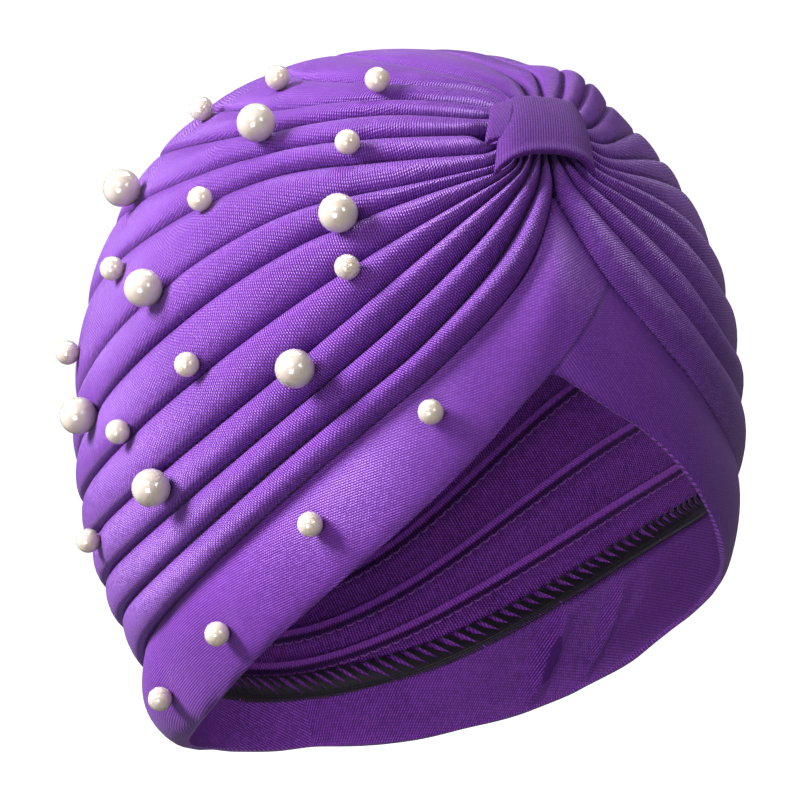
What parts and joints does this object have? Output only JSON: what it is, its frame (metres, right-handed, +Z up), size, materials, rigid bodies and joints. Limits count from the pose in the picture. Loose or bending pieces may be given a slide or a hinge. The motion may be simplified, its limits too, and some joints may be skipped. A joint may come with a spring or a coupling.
{
  "type": "pleated knit turban",
  "caption": "Ready-tied pleated knit head wrap gathered under a knot at the front, with a plain band round the face and pearl beads sewn on one side.",
  "frame": {"origin": "middle of the head hollow, level with the widest part of the head", "axes": "+Z up along the head's axis, -Y towards the brow, +X to the viewer's right when facing the front"},
  "size_m": [0.181, 0.2123, 0.1947],
  "materials": {
    "knit_crown": "fine ribbed knit with a satin sheen",
    "knit_band": "fine ribbed knit with a satin sheen",
    "knit_strap": "fine ribbed knit, matt",
    "overlock": "black overlock thread over purple knit, matt",
    "pearl": "cream pearl coat, glossy"
  },
  "bodies": {
    "root": {"crown": "knit_crown", "front_band": "knit_band", "knot": "knit_strap", "seam_allowance": "overlock", "pearl_large_1": "pearl", "pearl_large_2": "pearl", "pearl_large_3": "pearl", "pearl_large_4": "pearl", "pearl_large_5": "pearl", "pearl_large_6": "pearl", "pearl_large_7": "pearl", "pearl_small_1": "pearl", "pearl_small_2": "pearl", "pearl_small_3": "pearl", "pearl_small_4": "pearl", "pearl_small_5": "pearl", "pearl_small_6": "pearl", "pearl_small_7": "pearl", "pearl_small_8": "pearl", "pearl_small_9": "pearl", "pearl_small_10": "pearl", "pearl_small_11": "pearl", "pearl_small_12": "pearl", "pearl_small_13": "pearl", "pearl_small_14": "pearl", "pearl_small_15": "pearl"}
  },
  "joints": []
}
